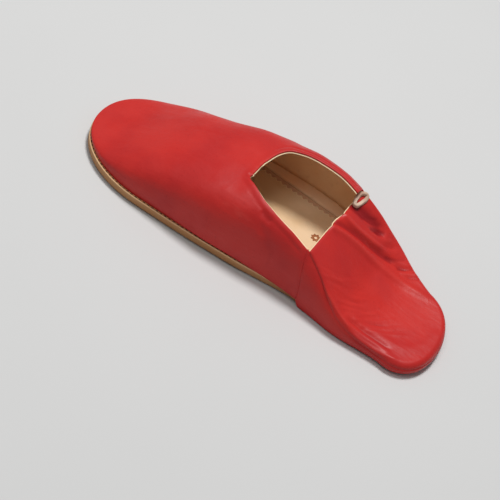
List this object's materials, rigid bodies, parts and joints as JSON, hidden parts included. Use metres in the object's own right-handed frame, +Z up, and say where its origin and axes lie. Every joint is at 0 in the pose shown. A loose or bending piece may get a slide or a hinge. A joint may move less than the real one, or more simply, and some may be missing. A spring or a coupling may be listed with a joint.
{
  "type": "babouche slipper",
  "caption": "Backless-style leather slipper with a closed round toe, open collar and trodden-down heel, standing empty on its flat sole.",
  "frame": {"origin": "middle of the slipper's footprint, on the floor", "axes": "+X from heel to toe, +Y to the slipper's left (the foot's inner side), +Z up"},
  "size_m": [0.265, 0.095, 0.0522],
  "materials": {
    "outsole_leather": "matt vegetable-tanned leather, brown edge",
    "insole_leather": "matt natural leather with a pinked edge",
    "vamp_leather": "smooth red goatskin, soft sheen, tan lining",
    "quarter_leather": "smooth red goatskin with creases, soft sheen, tan lining"
  },
  "bodies": {
    "root": {"outsole": "outsole_leather", "insole": "insole_leather", "vamp": "vamp_leather", "back_quarter": "quarter_leather"}
  },
  "joints": []
}
